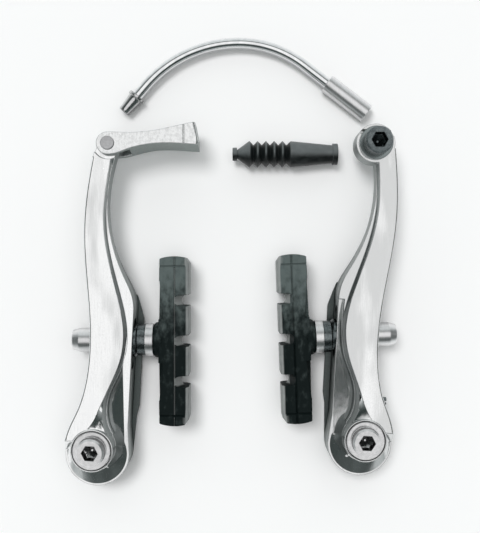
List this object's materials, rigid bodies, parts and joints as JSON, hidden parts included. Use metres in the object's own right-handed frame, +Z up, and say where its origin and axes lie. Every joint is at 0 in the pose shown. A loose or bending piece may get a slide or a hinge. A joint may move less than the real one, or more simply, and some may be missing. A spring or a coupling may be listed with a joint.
{
  "type": "bicycle v brake",
  "caption": "V brake set for one bicycle wheel: polished arms on sprung pivots, turning brake shoes, cable link, cable clamp, bent cable noodle and rubber boot.",
  "frame": {"origin": "middle of the set's footprint, on the surface that it lies on", "axes": "+X to the right across the set, +Y up the arms from the pivots to the cable, +Z up from the surface towards the front of the brake"},
  "size_m": [0.121, 0.166, 0.0257],
  "materials": {
    "polished_alloy": "polished",
    "link_alloy": "polished",
    "satin_alloy": "satin",
    "plated_steel": "bright plated",
    "noodle_chrome": "bright plated",
    "plain_steel": "zinc plated",
    "dark_steel": "blackened",
    "spring_steel": "drawn wire",
    "pad_rubber": "moulded, matt",
    "boot_rubber": "moulded, slight sheen",
    "sleeve_plastic": "matt",
    "liner_plastic": "smooth"
  },
  "bodies": {
    "root": {"left_pivot_bush": "plain_steel", "left_fixing_bolt": "plated_steel", "left_return_spring": "spring_steel", "right_pivot_bush": "plain_steel", "right_fixing_bolt": "plated_steel", "right_return_spring": "spring_steel", "noodle_tip": "plated_steel", "noodle_pipe": "noodle_chrome", "noodle_liner": "liner_plastic", "noodle_ferrule": "satin_alloy", "cable_boot": "boot_rubber"},
    "left_arm": {"left_arm": "polished_alloy", "left_spring_sleeve": "sleeve_plastic", "left_inner_dome_washer": "dark_steel", "left_outer_dome_washer": "dark_steel", "link_rivet": "plain_steel"},
    "right_arm": {"right_arm": "polished_alloy", "right_spring_sleeve": "sleeve_plastic", "right_inner_dome_washer": "dark_steel", "right_outer_dome_washer": "dark_steel", "clamp_washer": "plated_steel", "clamp_bolt": "dark_steel"},
    "cable_link": {"cable_link": "link_alloy"},
    "left_shoe": {"left_inner_cup_washer": "dark_steel", "left_outer_cup_washer": "dark_steel", "left_spacer_washer": "satin_alloy", "left_shoe_stud": "plain_steel", "left_brake_pad": "pad_rubber", "left_shoe_nut": "satin_alloy"},
    "left_tension_screw": {"left_tension_screw": "dark_steel"},
    "right_shoe": {"right_inner_cup_washer": "dark_steel", "right_outer_cup_washer": "dark_steel", "right_spacer_washer": "satin_alloy", "right_shoe_stud": "plain_steel", "right_brake_pad": "pad_rubber", "right_shoe_nut": "satin_alloy"},
    "right_tension_screw": {"right_tension_screw": "dark_steel"}
  },
  "joints": [
    {"name": "left_arm_pivot", "type": "hinge", "parent": "root", "child": "left_arm", "pos_m": [-0.0502, -0.069, 0.009], "axis": [0, 0, 1], "range_deg": [-6, 25], "stiffness_Nm_per_rad": 0.6, "deforming": ["left_return_spring"]},
    {"name": "right_arm_pivot", "type": "hinge", "parent": "root", "child": "right_arm", "pos_m": [0.0476, -0.0654, 0.009], "axis": [0, 0, -1], "range_deg": [-6, 25], "stiffness_Nm_per_rad": 0.6, "deforming": ["right_return_spring"]},
    {"name": "link_pivot", "type": "hinge", "parent": "left_arm", "child": "cable_link", "pos_m": [-0.04445, 0.04085, 0.0133], "axis": [0, 0, 1], "range_deg": [-20, 90]},
    {"name": "left_shoe_turn", "type": "hinge", "parent": "left_arm", "child": "left_shoe", "pos_m": [-0.04054, -0.03017, 0.0088], "axis": [1, 0, 0], "range_deg": [-10, 100]},
    {"name": "right_shoe_turn", "type": "hinge", "parent": "right_arm", "child": "right_shoe", "pos_m": [0.04203, -0.02865, 0.0088], "axis": [0.9993, 0.0384, 0], "range_deg": [-10, 100]},
    {"name": "left_tension_turn", "type": "hinge", "parent": "left_arm", "child": "left_tension_screw", "pos_m": [-0.05549, -0.0557, 0.009], "axis": [0.9985, -0.0541, 0], "continuous": true},
    {"name": "right_tension_turn", "type": "hinge", "parent": "right_arm", "child": "right_tension_screw", "pos_m": [0.05659, -0.05287, 0.009], "axis": [0.9985, -0.0541, 0], "continuous": true}
  ]
}
